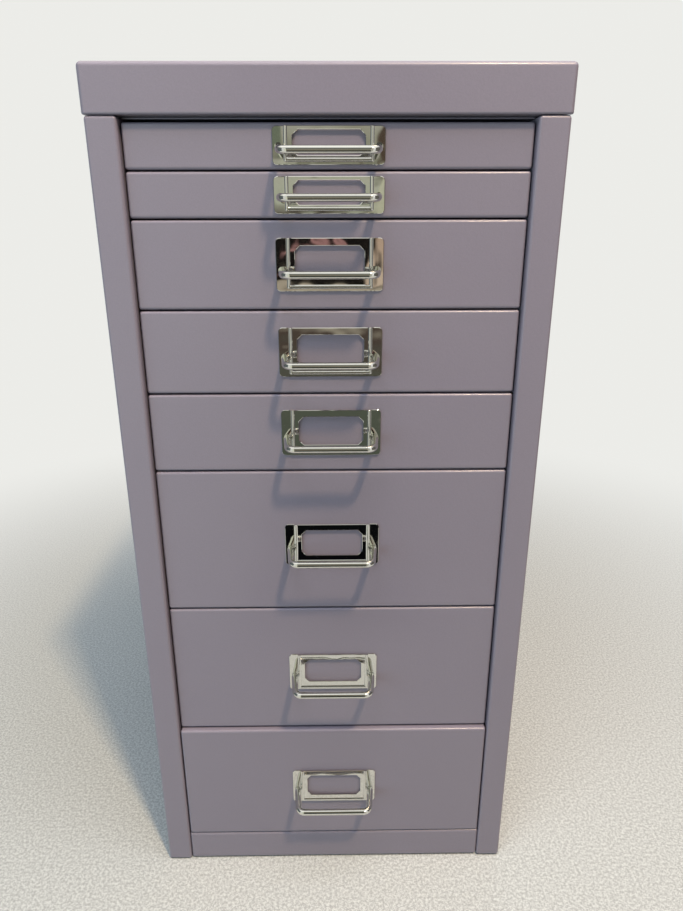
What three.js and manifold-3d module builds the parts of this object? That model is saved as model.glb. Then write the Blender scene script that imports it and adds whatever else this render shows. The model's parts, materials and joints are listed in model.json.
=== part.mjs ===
// A pressed-steel desk cabinet with one column of eight drawers, in millimetres.
// X runs to the right, Y to the back and Z up. The cabinet stands on z = 0, and x = 0 and
// y = 0 are the middle of its whole footprint, with the pulls and the open bottom drawer.
import * as THREE from 'three';
import { mergeVertices } from 'three/addons/utils/BufferGeometryUtils.js';
import Module from 'manifold-3d';

const wasm = await Module();
wasm.setup();

// Clearances that every piece keeps. Each fold below is the radius inside its bend.
const seatGap = 0.3;
const cutOverrun = 2;
const joinOverlap = 0.2;

// Cap
const capWidth = 279;
const capDepth = 380;
const capHeight = 26.8;
const capFold = 1.4;
const capLip = 14;
const capSideOverhang = 1.1;
const capFrontOverhang = 0.4;

// Carcase
const bodySheet = 0.8;
const postWidth = 18.6;
const postReturn = 30;
const postFold = 1.1;
const baseHeight = 26.7;
const baseClearance = 0.4;
const baseRecess = 0.8;
const baseLift = 0.3;
const baseFold = 1.1;
const baseLip = 12;
const headRailInset = 10;
const headRailRoom = 10.2;
const headRailRise = 18;
const headRailFold = 0.6;
const backFlange = 14;
const backFold = 0.6;
const uprightLeg = 20;
const uprightFoot = 13;
const uprightRearRoom = 6.5;
const uprightFold = 0.6;

// Glides
const glideLift = 1;
const glideRadius = 7;
const glideInset = 14;
const glideStemRadius = 2.6;
const glideHeadRadius = 3.5;
const glideHeadHeight = 1.9;
const glideTipRadius = 2;

// Drawer stack: heights are counted in units of one shallow drawer. The top drawer is cut lower at
// its top and the bottom one at its foot, to clear the cap and the base.
const unitPitch = 26.75;
const topDrawerCut = 0.7;
const bottomDrawerCut = 2;
const stackClearance = 2.8;
const drawerGap = 1;
const drawerSideGap = 0.9;
const drawerRecess = 4;
const bottomDrawerAjar = 3.5;

// Drawer fronts
const frontSheet = 0.8;
const frontDepth = 12;
const frontFold = 0.9;
const frontLip = 6;
const frontSideLip = 10;

// Trays
const traySheet = 0.7;
const trayRearRoom = 20.3;
const trayFloorRise = 1.6;
const flangeDrop = 3.9;
const flangeWidth = 7;
const flangePlay = 1.3;
const lugHeight = 2.6;
const lugInset = 1;

// Runners
const runnerSheet = 1;
const runnerFold = 0.5;
const runnerFrontRoom = 1.7;
const runnerLipClearance = 0.8;
const runnerHeadroom = 3.3;
const stopTabDrop = 2.4;
const stopGap = 0.4;
const lengthKeptIn = 75.9;

// Label plates
const plateSheet = 0.7;
const plateWidth = 65.5;
const plateCorner = 2.5;
const pocketRaise = 0.8;
const beadRadius = 1.35;
const beadRise = 1.45;
const beadSideInset = 7.7;
const beadBottomInset = 2.75;
const windowSideInset = 11.6;
const windowChamfer = 3.2;
const shallowPlateHeight = 20.6;
const shallowWindowTop = 2;
const shallowWindowBottom = 4.9;
const tallPlateHeight = 31.3;
const tallWindowTop = 4.4;
const tallWindowBottom = 7.5;

// How far the plates' middles lie below the middles of their drawers' full places
const plateLoweringShallow = 0.15;
const plateLoweringMedium = -0.4;
const plateLoweringDeep = 1.5;

// Wire pulls
const wireDiameter = 4.6;
const wireBend = 4.8;
const wireProjection = 22.1;
const wireDroop = 1.4;
const topPullDroop = 4;
const wireSplay = 1.7;
const legStraight = 1.2;
const legBeadRoom = 0.3;
const legDropShallow = 11;
const legDropTall = 18.8;
const tenonDiameter = 3;
const tenonClearance = 0.3;
const rivetDiameter = 5.4;
const rivetHeight = 1.2;

// How finely round shapes are drawn
const bendSteps = 3;
const beadSteps = 4;
const domeSteps = 4;
const wireBendSteps = 4;
const wireSides = 8;
const holeSides = 8;
const glideSides = 16;

const shallowPlate = {
  height: shallowPlateHeight,
  windowTop: shallowWindowTop,
  windowBottom: shallowWindowBottom,
  legDrop: legDropShallow,
};
const tallPlate = {
  height: tallPlateHeight,
  windowTop: tallWindowTop,
  windowBottom: tallWindowBottom,
  legDrop: legDropTall,
};

// The drawers from the top down, with their heights in units
const drawers = [
  {
    units: 1,
    plate: shallowPlate,
    lowering: plateLoweringShallow,
    topCut: topDrawerCut,
    droop: topPullDroop,
  },
  { units: 1, plate: shallowPlate, lowering: plateLoweringShallow },
  { units: 2, plate: tallPlate, lowering: plateLoweringMedium },
  { units: 2, plate: tallPlate, lowering: plateLoweringMedium },
  { units: 2, plate: tallPlate, lowering: plateLoweringMedium },
  { units: 4, plate: tallPlate, lowering: plateLoweringDeep },
  { units: 4, plate: tallPlate, lowering: plateLoweringDeep },
  {
    units: 4,
    plate: tallPlate,
    lowering: plateLoweringDeep,
    footCut: bottomDrawerCut,
    ajar: bottomDrawerAjar,
  },
];

// The height of a drawer's place in the stack.
function placeHeight(drawer) {
  return drawer.units * unitPitch - (drawer.topCut ?? 0) - (drawer.footCut ?? 0);
}

// Sizes worked out from the ones above. Depths in the carcase are measured back from the faces of
// the posts, and those of trays and runners from the closed drawer faces.
const bodyWidth = capWidth - 2 * capSideOverhang;
const bodyDepth = capDepth - 2 * capFrontOverhang;
const openingHalf = bodyWidth / 2 - postWidth;
const bodyBottom = glideLift;
const baseTop = bodyBottom + baseHeight;
const stackBottom = baseTop + baseClearance;
const stackTop = drawers.reduce((height, drawer) => height + placeHeight(drawer), stackBottom);
const capBottom = stackTop + stackClearance;
const bodyTop = capBottom - seatGap;
const capTop = capBottom + capHeight;
const backInside = bodyDepth - 2 * bodySheet - seatGap;
const frontWidth = 2 * (openingHalf - drawerSideGap);
const trayFront = frontDepth + seatGap;
const runnerFront = trayFront + runnerFrontRoom;
const trayLength = bodyDepth - drawerRecess - trayFront - trayRearRoom;
const trayHalf = openingHalf - seatGap - runnerSheet - flangePlay - flangeWidth;
const drawerTravel = trayFront + trayLength - runnerFront - lengthKeptIn;
const lugFront = runnerFront + runnerSheet + stopGap + drawerTravel;
const runnerBack = trayFront + trayLength + stopGap + runnerSheet;
const beadHalf = plateWidth / 2 - beadSideInset;
const legHalf = beadHalf + beadRadius + legBeadRoom + wireDiameter / 2;
const windowHalf = plateWidth / 2 - windowSideInset;
const plateFace = seatGap + plateSheet;
const pullReach = wireProjection + wireDiameter / 2;
const bottomPullReach = pullReach + bottomDrawerAjar - drawerRecess;
const footprintDepth = bottomPullReach + bodyDepth + capFrontOverhang;
const postPlane = bottomPullReach - footprintDepth / 2;
const drawerPlane = postPlane + drawerRecess;

// Finishes
const paint = { color: 0x948a98, roughness: 0.5, metalness: 0 };
const chrome = { color: 0xd9dbd6, roughness: 0.12, metalness: 1 };
const zincPlate = { color: 0xa9acb0, roughness: 0.4, metalness: 1 };
const nylon = { color: 0x26262a, roughness: 0.6, metalness: 0 };

const across = new THREE.Vector3(1, 0, 0);
const inward = new THREE.Vector3(0, 1, 0);
const upward = new THREE.Vector3(0, 0, 1);

// A closed geometry as a solid that can be joined and cut.
function solidOf(geometry) {
  const bare = geometry.clone();
  bare.deleteAttribute('normal');
  bare.deleteAttribute('uv');
  const merged = mergeVertices(bare);
  const vertProperties = new Float32Array(merged.attributes.position.array);
  const triVerts = new Uint32Array(merged.index.array);
  return new wasm.Manifold(new wasm.Mesh({ numProp: 3, vertProperties, triVerts }));
}

// A solid as a geometry again.
function geometryOf(solid) {
  const data = solid.getMesh();
  const geometry = new THREE.BufferGeometry();
  geometry.setAttribute('position', new THREE.BufferAttribute(data.vertProperties, data.numProp));
  geometry.setIndex(new THREE.BufferAttribute(data.triVerts, 1));
  geometry.computeVertexNormals();
  return geometry;
}

// A plain block between two opposite corners.
function block(low, high) {
  const geometry = new THREE.BoxGeometry(high[0] - low[0], high[1] - low[1], high[2] - low[2]);
  geometry.translate((low[0] + high[0]) / 2, (low[1] + high[1]) / 2, (low[2] + high[2]) / 2);
  return solidOf(geometry);
}

// A round bar along Y between two depths.
function roundBar(radius, x, z, front, back) {
  const geometry = new THREE.CylinderGeometry(radius, radius, back - front, holeSides);
  geometry.translate(x, (front + back) / 2, z);
  return solidOf(geometry);
}

// An outline in X and Y drawn up from one height to another.
function drawnUp(outline, bottom, top) {
  const options = { depth: top - bottom, bevelEnabled: false };
  const geometry = new THREE.ExtrudeGeometry(new THREE.Shape(outline), options);
  geometry.translate(0, 0, bottom);
  return solidOf(geometry);
}

// An outline in X and Z drawn back from one depth to another.
function drawnBack(outline, front, back) {
  const options = { depth: back - front, bevelEnabled: false };
  const geometry = new THREE.ExtrudeGeometry(new THREE.Shape(outline), options);
  geometry.applyMatrix4(new THREE.Matrix4().makeBasis(across, upward, inward.clone().negate()));
  geometry.translate(0, back, 0);
  return solidOf(geometry);
}

// An outline in Y and Z drawn across from one side to the other.
function drawnAcross(outline, left, right) {
  const options = { depth: right - left, bevelEnabled: false };
  const geometry = new THREE.ExtrudeGeometry(new THREE.Shape(outline), options);
  geometry.applyMatrix4(new THREE.Matrix4().makeBasis(inward, upward, across));
  geometry.translate(left, 0, 0);
  return solidOf(geometry);
}

// A line of corner points with each inner corner rounded, in the plane or in space.
function roundedLine(corners, radius, steps) {
  const points = [corners[0].clone()];
  for (let i = 1; i < corners.length - 1; i += 1) {
    const toLast = corners[i - 1].clone().sub(corners[i]).normalize();
    const toNext = corners[i + 1].clone().sub(corners[i]).normalize();
    const halfAngle = Math.acos(toLast.dot(toNext)) / 2;
    const reach = radius / Math.tan(halfAngle);
    const bisector = toLast.clone().add(toNext).normalize();
    const centre = corners[i].clone().addScaledVector(bisector, radius / Math.sin(halfAngle));
    const start = corners[i].clone().addScaledVector(toLast, reach).sub(centre);
    const end = corners[i].clone().addScaledVector(toNext, reach).sub(centre);
    const sweep = Math.PI - 2 * halfAngle;
    for (let step = 0; step <= steps; step += 1) {
      const share = step / steps;
      const spoke = start.clone().multiplyScalar(Math.sin((1 - share) * sweep) / Math.sin(sweep));
      spoke.addScaledVector(end, Math.sin(share * sweep) / Math.sin(sweep));
      points.push(spoke.add(centre));
    }
  }
  points.push(corners[corners.length - 1].clone());
  return points;
}

// A line moved sideways, to its left where the distance is positive.
function offsetLine(line, distance) {
  return line.map((point, i) => {
    const before = line[Math.max(i, 1)].clone().sub(line[Math.max(i, 1) - 1]).normalize();
    const last = line.length - 1;
    const after = line[Math.min(i + 1, last)].clone().sub(line[Math.min(i + 1, last) - 1]).normalize();
    const normal = new THREE.Vector2(-before.y - after.y, before.x + after.x);
    return point.clone().addScaledVector(normal, distance / (1 + before.dot(after)));
  });
}

// The outline of a bent sheet, from the line through the middle of its thickness.
function bentSheet(corners, sheet, fold) {
  const line = roundedLine(corners, fold + sheet / 2, bendSteps);
  return [...offsetLine(line, sheet / 2), ...offsetLine(line, -sheet / 2).reverse()];
}

// A block with its face at z = 0 and every edge rounded.
function roundedBlock(width, length, depth, bend) {
  const halfX = width / 2 - bend;
  const halfY = length / 2 - bend;
  const outline = new THREE.Shape();
  outline.moveTo(-halfX, -halfY);
  outline.lineTo(halfX, -halfY);
  outline.lineTo(halfX, halfY);
  outline.lineTo(-halfX, halfY);
  const geometry = new THREE.ExtrudeGeometry(outline, {
    depth: depth - 2 * bend,
    bevelThickness: bend,
    bevelSize: bend,
    bevelSegments: bendSteps,
  });
  geometry.translate(0, 0, bend - depth);
  return solidOf(geometry);
}

// A pan pressed from one sheet: a face at z = 0, four walls down, and their ends turned inward.
function pressedPan(width, length, depth, sheet, fold, sideLip, endLip) {
  const outside = roundedBlock(width, length, depth, fold + sheet);
  const inside = roundedBlock(width - 2 * sheet, length - 2 * sheet, depth - 2 * sheet, fold);
  const mouthX = width / 2 - sideLip;
  const mouthY = length / 2 - endLip;
  const mouth = block([-mouthX, -mouthY, -depth / 2], [mouthX, mouthY, depth / 2]);
  const hollow = solidOf(geometryOf(inside).translate(0, 0, -sheet));
  const opened = solidOf(geometryOf(mouth).translate(0, 0, -depth));
  return outside.subtract(hollow).subtract(opened);
}

// The mesh of one piece, under its name.
function piece(name, geometry, finish) {
  const mesh = new THREE.Mesh(geometry, new THREE.MeshStandardMaterial(finish));
  mesh.name = name;
  return mesh;
}

// The cap sits on the flanges of the carcase, and all its lower edges turn in.
function cap() {
  const solid = pressedPan(capWidth, capDepth, capHeight, bodySheet, capFold, capLip, capLip);
  const mesh = piece('top_cap', geometryOf(solid), paint);
  mesh.position.set(0, bodyDepth / 2, capTop);
  return mesh;
}

// A side panel's sheet makes the front post with its return, the side and the rear flange.
// Flat flanges close the post and the side at the top and the bottom.
function sidePanel(name, side) {
  const half = bodySheet / 2;
  const line = roundedLine(
    [
      new THREE.Vector2(side * (openingHalf + half), postReturn),
      new THREE.Vector2(side * (openingHalf + half), half),
      new THREE.Vector2(side * (bodyWidth / 2 - half), half),
      new THREE.Vector2(side * (bodyWidth / 2 - half), bodyDepth - half),
      new THREE.Vector2(side * openingHalf, bodyDepth - half),
    ],
    postFold + half,
    bendSteps,
  );
  const skin = offsetLine(line, -half * side);
  const inner = offsetLine(line, half * side);
  const walls = drawnUp([...skin, ...inner.reverse()], bodyBottom, bodyTop);
  const bottomFlange = drawnUp(skin, bodyBottom, bodyBottom + bodySheet);
  const topFlange = drawnUp(skin, bodyTop - bodySheet, bodyTop);
  let solid = walls.add(bottomFlange).add(topFlange);
  for (const y of [glideInset, bodyDepth - glideInset]) {
    const radius = glideStemRadius + seatGap;
    const bar = new THREE.CylinderGeometry(radius, radius, 2 * cutOverrun, holeSides);
    bar.rotateX(Math.PI / 2);
    bar.translate(side * (bodyWidth / 2 - postWidth / 2), y, bodyBottom);
    solid = solid.subtract(solidOf(bar));
  }
  return piece(name, geometryOf(solid), paint);
}

// The head rail crosses the top of the opening, and its rear leg stands up inside the cap.
function headRail() {
  const half = bodySheet / 2;
  const back = capLip - capFrontOverhang + headRailRoom;
  const outline = bentSheet(
    [
      new THREE.Vector2(headRailInset, bodyTop - half),
      new THREE.Vector2(back - half, bodyTop - half),
      new THREE.Vector2(back - half, bodyTop + headRailRise),
    ],
    bodySheet,
    headRailFold,
  );
  const solid = drawnAcross(outline, seatGap - openingHalf, openingHalf - seatGap);
  return piece('head_rail', geometryOf(solid), paint);
}

// The back panel stands inside the rear flanges, and its top flange carries the cap.
function backPanel() {
  const half = bodySheet / 2;
  const sheetHalf = bodyWidth / 2 - bodySheet - postFold - seatGap;
  const low = bodyBottom + bodySheet + seatGap;
  const high = bodyTop - bodySheet - seatGap;
  const sheet = block([-sheetHalf, backInside, low], [sheetHalf, backInside + bodySheet, high]);
  const outline = bentSheet(
    [
      new THREE.Vector2(backInside + half, high - backFlange),
      new THREE.Vector2(backInside + half, bodyTop - half),
      new THREE.Vector2(backInside + bodySheet - backFlange, bodyTop - half),
    ],
    bodySheet,
    backFold,
  );
  const flange = drawnAcross(outline, seatGap - openingHalf, openingHalf - seatGap);
  return piece('back_panel', geometryOf(sheet.add(flange)), paint);
}

// The base pan is the cabinet's floor, and its front wall shows as the rail under the drawers.
function basePan() {
  const length = backInside - seatGap - baseRecess;
  const width = 2 * (openingHalf - seatGap);
  const depth = baseHeight - baseLift;
  const solid = pressedPan(width, length, depth, bodySheet, baseFold, baseLip, baseLip);
  const mesh = piece('base_pan', geometryOf(solid), paint);
  mesh.position.set(0, baseRecess + length / 2, baseTop);
  return mesh;
}

// A rear upright steps out from the runners to the side panel.
function rearUpright(name, side) {
  const half = bodySheet / 2;
  const sideFace = bodyWidth / 2 - bodySheet - seatGap;
  const footBack = backInside - uprightRearRoom;
  const web = footBack - uprightFoot - half;
  const outline = bentSheet(
    [
      new THREE.Vector2(side * (openingHalf + half), footBack - uprightFoot - uprightLeg),
      new THREE.Vector2(side * (openingHalf + half), web),
      new THREE.Vector2(side * (sideFace - half), web),
      new THREE.Vector2(side * (sideFace - half), footBack),
    ],
    bodySheet,
    uprightFold,
  );
  const low = bodyBottom + bodySheet + seatGap;
  const high = bodyTop - bodySheet - seatGap;
  return piece(name, geometryOf(drawnUp(outline, low, high)), zincPlate);
}

// A glide is a low foot with a stem that snaps into the hole of a bottom flange.
function glide(name, side, y) {
  const footTop = glideLift - seatGap;
  const headBottom = glideLift + bodySheet + seatGap;
  const headTop = headBottom + glideHeadHeight;
  const profile = [
    new THREE.Vector2(0, 0),
    new THREE.Vector2(glideRadius, 0),
    new THREE.Vector2(glideRadius, footTop),
    new THREE.Vector2(glideStemRadius, footTop),
    new THREE.Vector2(glideStemRadius, headBottom),
    new THREE.Vector2(glideHeadRadius, headBottom),
    new THREE.Vector2(glideTipRadius, headTop),
    new THREE.Vector2(0, headTop),
  ];
  const mesh = piece(name, new THREE.LatheGeometry(profile, glideSides), nylon);
  mesh.rotation.x = Math.PI / 2;
  mesh.position.set(side * (bodyWidth / 2 - postWidth / 2), y, 0);
  return mesh;
}

// A runner is a channel for the tray's flange. Its front end has a tab that stops the open
// drawer, and its back end is closed by one that stops the drawer when it is pushed in.
function runner(name, side, drawerTop) {
  const half = runnerSheet / 2;
  const mouth = trayHalf + runnerLipClearance;
  const web = openingHalf - seatGap - half;
  const roof = runnerHeadroom - flangeDrop;
  const floor = -flangeDrop - traySheet - seatGap;
  const outline = bentSheet(
    [
      new THREE.Vector2(side * mouth, roof + half),
      new THREE.Vector2(side * web, roof + half),
      new THREE.Vector2(side * web, floor - half),
      new THREE.Vector2(side * mouth, floor - half),
    ],
    runnerSheet,
    runnerFold,
  );
  const tab = (front, low) => {
    const ends = [side * mouth, side * web].sort((a, b) => a - b);
    return block([ends[0], front, low], [ends[1], front + runnerSheet, roof + half]);
  };
  const frontTab = tab(runnerFront, roof - stopTabDrop);
  const backTab = tab(runnerBack - runnerSheet, floor - half);
  const solid = drawnBack(outline, runnerFront, runnerBack).add(frontTab).add(backTab);
  const mesh = piece(name, geometryOf(solid), zincPlate);
  mesh.position.set(0, drawerRecess, drawerTop);
  return mesh;
}

// A tray hangs by its turned-out flanges. Heights are measured from the top of its place.
function tray(name, drawer) {
  const low = trayFloorRise - placeHeight(drawer);
  const high = -flangeDrop;
  const back = trayFront + trayLength;
  const outer = block([-trayHalf, trayFront, low], [trayHalf, back, high]);
  const inner = block(
    [traySheet - trayHalf, trayFront + traySheet, low + traySheet],
    [trayHalf - traySheet, back - traySheet, high + cutOverrun],
  );
  let solid = outer.subtract(inner);
  for (const side of [-1, 1]) {
    const flangeEnds = [side * (trayHalf - joinOverlap), side * (trayHalf + flangeWidth)];
    const lugEnds = [side * (trayHalf + runnerLipClearance + lugInset), side * (trayHalf + flangeWidth)];
    flangeEnds.sort((a, b) => a - b);
    lugEnds.sort((a, b) => a - b);
    const flange = block([flangeEnds[0], trayFront, high - traySheet], [flangeEnds[1], back, high]);
    const lug = block(
      [lugEnds[0], lugFront, high - joinOverlap],
      [lugEnds[1], lugFront + traySheet, high + lugHeight],
    );
    solid = solid.add(flange).add(lug);
  }
  return piece(name, geometryOf(solid), paint);
}

// The depth of a label plate's top edge below the top of its drawer's place.
function plateDrop(drawer) {
  return (drawer.units * unitPitch - drawer.plate.height) / 2 + drawer.lowering - (drawer.topCut ?? 0);
}

// A drawer front is a pan with two holes for the tenons of the pull.
function drawerFront(name, drawer) {
  const place = placeHeight(drawer);
  let solid = pressedPan(
    frontWidth,
    place - drawerGap,
    frontDepth,
    frontSheet,
    frontFold,
    frontSideLip,
    frontLip,
  );
  const legHeight = place / 2 - plateDrop(drawer) - drawer.plate.legDrop;
  for (const side of [-1, 1]) {
    const radius = tenonDiameter / 2 + tenonClearance;
    const hole = new THREE.CylinderGeometry(radius, radius, 2 * cutOverrun, holeSides);
    hole.rotateX(Math.PI / 2);
    hole.translate(side * legHalf, legHeight, 0);
    solid = solid.subtract(solidOf(hole));
  }
  const mesh = piece(name, geometryOf(solid), paint);
  mesh.rotation.x = Math.PI / 2;
  mesh.position.z = -place / 2;
  return mesh;
}

// Half of a label plate's section: the flat flange, the bead and the raised pocket.
// The first number of each point is its distance from the bead, outward, and the second
// is its distance from the back of the flange.
function plateSection(edge, reach) {
  const front = [new THREE.Vector2(edge, plateSheet)];
  const back = [new THREE.Vector2(edge, 0)];
  const innerRadius = beadRadius - plateSheet * Math.SQRT1_2;
  const sweep = Math.PI - Math.asin(pocketRaise / beadRise);
  for (let step = 0; step <= beadSteps; step += 1) {
    const angle = (step / beadSteps) * sweep;
    const height = beadRise * Math.sin(angle);
    front.push(new THREE.Vector2(beadRadius * Math.cos(angle), plateSheet + height));
    back.push(new THREE.Vector2(innerRadius * Math.cos(angle), height));
  }
  front.push(new THREE.Vector2(-reach, plateSheet + pocketRaise));
  back.push(new THREE.Vector2(-reach, pocketRaise));
  return [...front, ...back.reverse()];
}

// An outline in X and Z with its four corners cut or rounded off.
function trimmedRectangle(halfWidth, low, high, corner, rounded) {
  const steps = rounded ? bendSteps : 1;
  const centres = [
    new THREE.Vector2(halfWidth - corner, high - corner),
    new THREE.Vector2(corner - halfWidth, high - corner),
    new THREE.Vector2(corner - halfWidth, low + corner),
    new THREE.Vector2(halfWidth - corner, low + corner),
  ];
  const points = [];
  centres.forEach((centre, quarter) => {
    for (let step = 0; step <= steps; step += 1) {
      const angle = ((quarter + step / steps) * Math.PI) / 2;
      const spoke = new THREE.Vector2(Math.cos(angle), Math.sin(angle)).multiplyScalar(corner);
      points.push(spoke.add(centre));
    }
  });
  return points;
}

// A label plate, with its top edge at z = 0 and its back a seat gap off the drawer's face.
function labelPlate(name, drawer) {
  const { height, windowTop, windowBottom, legDrop } = drawer.plate;
  const beadHeight = beadBottomInset - height;
  const sideSection = plateSection(beadSideInset, beadHalf);
  const bottomSection = plateSection(beadBottomInset, 3 * beadRadius);
  const depthOf = (out) => -seatGap - out;
  const sides = [-1, 1].map((side) => {
    const outline = sideSection.map((p) => new THREE.Vector2(side * (beadHalf + p.x), depthOf(p.y)));
    return drawnUp(outline, beadHeight, 0);
  });
  const lower = bottomSection.map((p) => new THREE.Vector2(depthOf(p.y), beadHeight - p.x));
  let solid = sides[0].add(sides[1]).add(drawnAcross(lower, -beadHalf, beadHalf));
  for (const side of [-1, 1]) {
    const ends = [side * beadHalf, (side * plateWidth) / 2].sort((a, b) => a - b);
    const foot = block([ends[0], depthOf(plateSheet), -height], [ends[1], depthOf(0), beadHeight]);
    const dome = new THREE.SphereGeometry(beadRadius, 2 * domeSteps, domeSteps);
    dome.scale(1, beadRise / beadRadius, 1);
    dome.translate(side * beadHalf, depthOf(plateSheet), beadHeight);
    const beadFront = depthOf(plateSheet + beadRise + cutOverrun);
    const beadBox = block(
      [side * beadHalf - cutOverrun, beadFront, beadHeight - cutOverrun],
      [side * beadHalf + cutOverrun, depthOf(plateSheet / 2), beadHeight + cutOverrun],
    );
    solid = solid.add(foot).add(solidOf(dome).intersect(beadBox));
    const holeRadius = tenonDiameter / 2 + tenonClearance;
    solid = solid.subtract(roundBar(holeRadius, side * legHalf, -legDrop, -cutOverrun, cutOverrun));
  }
  const opening = trimmedRectangle(windowHalf, windowBottom - height, -windowTop, windowChamfer, false);
  const blank = trimmedRectangle(plateWidth / 2, -height, 0, plateCorner, true);
  const deep = pocketRaise + beadRise + plateSheet + cutOverrun;
  solid = solid.subtract(drawnBack(opening, -deep, deep)).intersect(drawnBack(blank, -deep, deep));
  const mesh = piece(name, geometryOf(solid), chrome);
  mesh.position.z = -plateDrop(drawer);
  return mesh;
}

// The middle line of a pull's wire. Equal steps of t go from one corner point to the next,
// so that the steps lie where the wire bends.
class WireLine extends THREE.Curve {
  constructor(points) {
    super();
    this.points = points;
  }

  getUtoTmapping(u) {
    return u;
  }

  getPoint(t, target = new THREE.Vector3()) {
    const place = t * (this.points.length - 1);
    const index = Math.min(Math.max(Math.floor(place), 0), this.points.length - 2);
    return target.lerpVectors(this.points[index], this.points[index + 1], place - index);
  }
}

// A pull: two legs and a bar of one wire, with thinner tenons that are riveted over behind
// the drawer front. Its legs stand on the plate at z = 0.
function pull(name, drawer) {
  const shoulder = plateFace + seatGap;
  const barHalf = legHalf - wireSplay;
  const droop = drawer.droop ?? wireDroop;
  const corners = [
    new THREE.Vector3(-legHalf, -shoulder - legStraight, 0),
    new THREE.Vector3(-barHalf, -wireProjection, -droop),
    new THREE.Vector3(barHalf, -wireProjection, -droop),
    new THREE.Vector3(legHalf, -shoulder - legStraight, 0),
  ];
  const line = roundedLine(corners, wireBend, wireBendSteps);
  line.unshift(new THREE.Vector3(-legHalf, -shoulder, 0));
  line.push(new THREE.Vector3(legHalf, -shoulder, 0));
  const circle = Array.from({ length: wireSides }, (_, i) => {
    const angle = (2 * Math.PI * i) / wireSides;
    return new THREE.Vector2(Math.cos(angle), Math.sin(angle)).multiplyScalar(wireDiameter / 2);
  });
  const options = { steps: line.length - 1, extrudePath: new WireLine(line) };
  let solid = solidOf(new THREE.ExtrudeGeometry(new THREE.Shape(circle), options));
  const rivetFront = frontSheet + seatGap;
  for (const side of [-1, 1]) {
    const tenonFront = -shoulder - legStraight / 2;
    const tenonBack = rivetFront + rivetHeight / 2;
    const tenon = roundBar(tenonDiameter / 2, side * legHalf, 0, tenonFront, tenonBack);
    const rivet = roundBar(rivetDiameter / 2, side * legHalf, 0, rivetFront, rivetFront + rivetHeight);
    solid = solid.add(tenon).add(rivet);
  }
  const mesh = piece(name, geometryOf(solid), chrome);
  mesh.position.z = -plateDrop(drawer) - drawer.plate.legDrop;
  return mesh;
}

const cabinet = new THREE.Group();

const carcase = new THREE.Group();
carcase.position.y = postPlane;
cabinet.add(carcase);
carcase.add(cap());
carcase.add(sidePanel('side_panel_left', -1));
carcase.add(sidePanel('side_panel_right', 1));
carcase.add(headRail());
carcase.add(backPanel());
carcase.add(basePan());
carcase.add(rearUpright('rear_upright_left', -1));
carcase.add(rearUpright('rear_upright_right', 1));
carcase.add(glide('glide_front_left', -1, glideInset));
carcase.add(glide('glide_front_right', 1, glideInset));
carcase.add(glide('glide_rear_left', -1, bodyDepth - glideInset));
carcase.add(glide('glide_rear_right', 1, bodyDepth - glideInset));

let drawerTop = stackTop;
drawers.forEach((drawer, index) => {
  const label = `drawer_${index + 1}`;
  carcase.add(runner(`${label}_runner_left`, -1, drawerTop));
  carcase.add(runner(`${label}_runner_right`, 1, drawerTop));
  const group = new THREE.Group();
  group.position.set(0, drawerPlane - (drawer.ajar ?? 0), drawerTop);
  group.add(tray(`${label}_tray`, drawer));
  group.add(drawerFront(`${label}_front`, drawer));
  group.add(labelPlate(`${label}_label_plate`, drawer));
  group.add(pull(`${label}_pull`, drawer));
  cabinet.add(group);
  drawerTop -= placeHeight(drawer);
});

export default cabinet;
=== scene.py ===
import json
import math

import bmesh
import bpy
from mathutils import Matrix, Vector


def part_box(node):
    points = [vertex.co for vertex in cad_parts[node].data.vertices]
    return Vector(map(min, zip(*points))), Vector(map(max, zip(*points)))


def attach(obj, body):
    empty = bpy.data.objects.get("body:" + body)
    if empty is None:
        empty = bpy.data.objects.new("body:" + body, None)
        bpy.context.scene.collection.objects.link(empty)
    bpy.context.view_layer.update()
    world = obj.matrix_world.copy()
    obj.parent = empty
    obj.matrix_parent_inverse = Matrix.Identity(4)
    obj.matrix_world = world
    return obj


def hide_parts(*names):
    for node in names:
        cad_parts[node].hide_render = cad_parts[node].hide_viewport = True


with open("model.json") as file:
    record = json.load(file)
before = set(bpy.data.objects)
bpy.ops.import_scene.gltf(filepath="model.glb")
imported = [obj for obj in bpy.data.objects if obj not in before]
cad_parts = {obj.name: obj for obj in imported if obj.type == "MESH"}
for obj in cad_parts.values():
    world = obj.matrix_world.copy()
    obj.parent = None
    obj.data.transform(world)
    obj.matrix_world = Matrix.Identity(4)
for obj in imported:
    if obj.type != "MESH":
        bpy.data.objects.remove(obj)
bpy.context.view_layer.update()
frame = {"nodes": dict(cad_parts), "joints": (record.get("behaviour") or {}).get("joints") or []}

# The room. The camera looks down on the cabinet's fronts from a little under half a metre. The main
# light is a warm lamp high in front on the right, a cool window stands on the left, and weaker lamps
# light the top, the right side and the back.
camera = bpy.data.objects.new("camera", bpy.data.cameras.new("camera"))
bpy.context.scene.collection.objects.link(camera)
camera.data.sensor_width = 36
camera.data.lens = 26.143
camera.data.clip_start = 0.01
camera_place = (0.00203, -0.59354, 0.50442)
heading = -0.01146
look_down = 0.33581
roll = -0.00253
camera_turn = Matrix.Rotation(heading, 4, "Z") @ Matrix.Rotation(math.pi / 2 - look_down, 4, "X")
camera_turn = camera_turn @ Matrix.Rotation(roll, 4, "Z")
camera.matrix_world = Matrix.Translation(camera_place) @ camera_turn
bpy.context.scene.camera = camera
bpy.context.scene.view_settings.view_transform = "Standard"


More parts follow.
